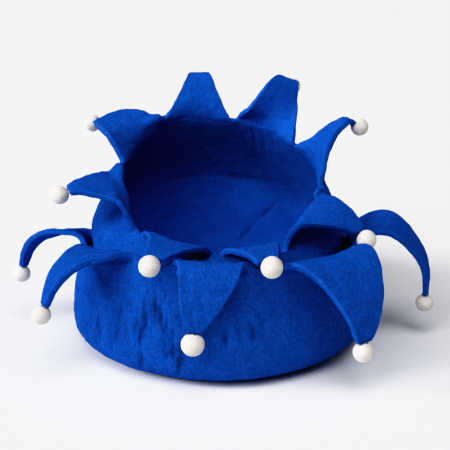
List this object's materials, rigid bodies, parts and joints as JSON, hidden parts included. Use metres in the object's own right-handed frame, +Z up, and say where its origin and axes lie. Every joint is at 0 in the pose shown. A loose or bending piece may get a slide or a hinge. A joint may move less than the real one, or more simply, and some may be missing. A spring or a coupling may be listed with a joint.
{
  "type": "felted wool pet basket",
  "caption": "Soft round pet basket of thick blue wool felt: a low bowl with a taller bowl standing in it, both rims cut into outward-curling points tipped with white felt balls.",
  "frame": {"origin": "on the ground under the middle of the outer bowl's floor", "axes": "+Z up, the low front of the mouth towards -Y, +X to the right as seen from the front"},
  "size_m": [0.5825, 0.4987, 0.3284],
  "materials": {
    "blue_felt": "matt wet-felted wool",
    "white_felt": "matt felted wool"
  },
  "bodies": {
    "root": {"outer_bowl": "blue_felt", "ball_outer_1": "white_felt", "ball_outer_2": "white_felt", "ball_outer_3": "white_felt", "ball_outer_4": "white_felt", "ball_outer_5": "white_felt", "ball_outer_6": "white_felt", "ball_outer_7": "white_felt", "ball_outer_8": "white_felt", "inner_bowl": "blue_felt", "ball_inner_1": "white_felt", "ball_inner_2": "white_felt", "ball_inner_3": "white_felt", "ball_inner_4": "white_felt", "ball_inner_5": "white_felt", "ball_inner_6": "white_felt", "ball_inner_7": "white_felt", "ball_inner_8": "white_felt"}
  },
  "joints": []
}
